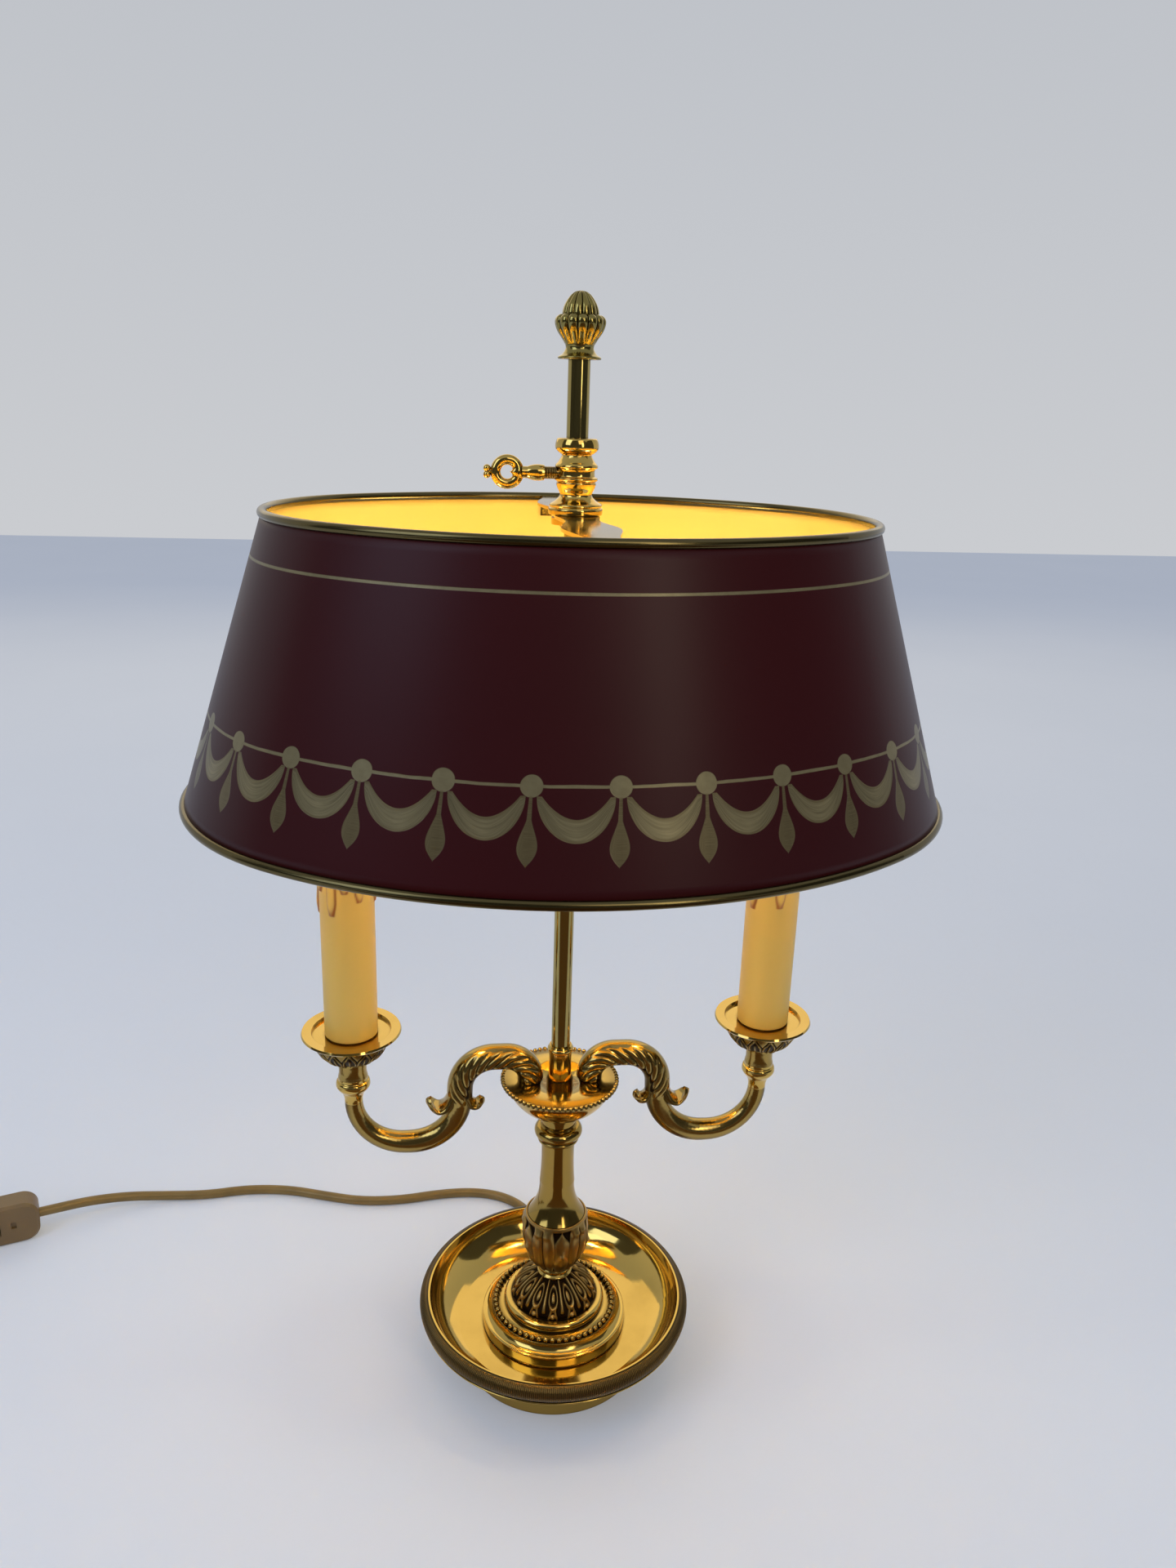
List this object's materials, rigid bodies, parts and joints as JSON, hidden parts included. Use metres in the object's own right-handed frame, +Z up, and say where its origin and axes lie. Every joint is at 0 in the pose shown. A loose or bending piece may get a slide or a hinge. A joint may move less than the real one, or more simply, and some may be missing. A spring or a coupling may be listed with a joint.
{
  "type": "bouillotte lamp",
  "caption": "Table lamp with a dished brass foot, scrolled candle arms under an oval painted metal shade that slides on a central stem, and a corded inline switch.",
  "frame": {"origin": "centre of the foot's underside, on the table, under the stem", "axes": "+Z up along the stem, X along the two arms and the long axis of the oval shade, the thumb screw towards -X, the cord leaves the back towards +Y"},
  "size_m": [0.6233, 0.2995, 0.5682],
  "materials": {
    "polished_brass": "polished, lightly lacquered",
    "cast_brass": "cast and chased, patinated in the recesses",
    "dark_brass": "antiqued",
    "stem_brass": "drawn tube, lightly darkened",
    "iron": "as cast",
    "steel": "zinc plated",
    "felt": "pressed felt",
    "shade_paint": "satin paint, gilt border on the outside",
    "candle": "ivory card with wax drips",
    "holder": "moulded",
    "bulb": "opal",
    "nickel": "nickel plated",
    "gold_cord": "soft PVC, metallic gold",
    "lead_sleeve": "glass-fibre sleeved lead",
    "bronze_plastic": "moulded, bronze colour"
  },
  "bodies": {
    "stand": {"base_felt": "felt", "foot_ring": "dark_brass", "base_weight": "iron", "base_dish": "polished_brass", "rim_band": "dark_brass", "base_washer": "steel", "clamp_nuts": "steel", "tie_rod": "steel", "pedestal_ring": "polished_brass", "leaf_dome": "cast_brass", "throat_ring": "polished_brass", "leaf_cup": "cast_brass", "column_neck": "cast_brass", "column_capital": "polished_brass", "hub_bowl": "polished_brass", "hub_plate": "cast_brass", "stem_ferrule": "polished_brass", "stem_rod": "stem_brass", "arm_nuts": "steel", "finial": "cast_brass", "inner_lead": "lead_sleeve", "cord_gland": "bronze_plastic", "cord_supply": "gold_cord", "cord_lead": "gold_cord", "cord_coil": "gold_cord", "cord_tail": "gold_cord", "switch_front": "bronze_plastic", "switch_back": "bronze_plastic", "plug_body": "bronze_plastic", "plug_pins": "nickel", "arm_left": "cast_brass", "socket_cup_left": "cast_brass", "drip_pan_left": "polished_brass", "cup_nipple_left": "steel", "lampholder_left": "holder", "candle_sleeve_left": "candle", "bulb_cap_left": "nickel", "bulb_glass_left": "bulb", "arm_right": "cast_brass", "socket_cup_right": "cast_brass", "drip_pan_right": "polished_brass", "cup_nipple_right": "steel", "lampholder_right": "holder", "candle_sleeve_right": "candle", "bulb_cap_right": "nickel", "bulb_glass_right": "bulb"},
    "collar": {"clamp_collar": "polished_brass", "collar_locknut": "polished_brass"},
    "shade": {"carrier_bar": "polished_brass", "bar_rivets": "polished_brass", "shade_shell": "shade_paint", "shade_top_bead": "dark_brass", "shade_foot_bead": "dark_brass"},
    "thumb_screw": {"thumb_screw": "polished_brass"},
    "switch_rocker": {"switch_rocker": "bronze_plastic"}
  },
  "joints": [
    {"name": "collar_slide", "type": "slide", "parent": "stand", "child": "collar", "axis": [0, 0, 1], "range_m": [-0.04, 0.033]},
    {"name": "shade_swivel", "type": "hinge", "parent": "collar", "child": "shade", "pos_m": [0, 0, 0.473], "axis": [0, 0, 1], "continuous": true},
    {"name": "thumb_screw_turn", "type": "hinge", "parent": "collar", "child": "thumb_screw", "pos_m": [0, 0, 0.4912], "axis": [-1, 0, 0], "range_deg": [0, 360]},
    {"name": "rocker_tip", "type": "hinge", "parent": "stand", "child": "switch_rocker", "pos_m": [-0.35098, 0.10733, 0.014], "axis": [0, 0, 1], "range_deg": [-14, 0]}
  ]
}
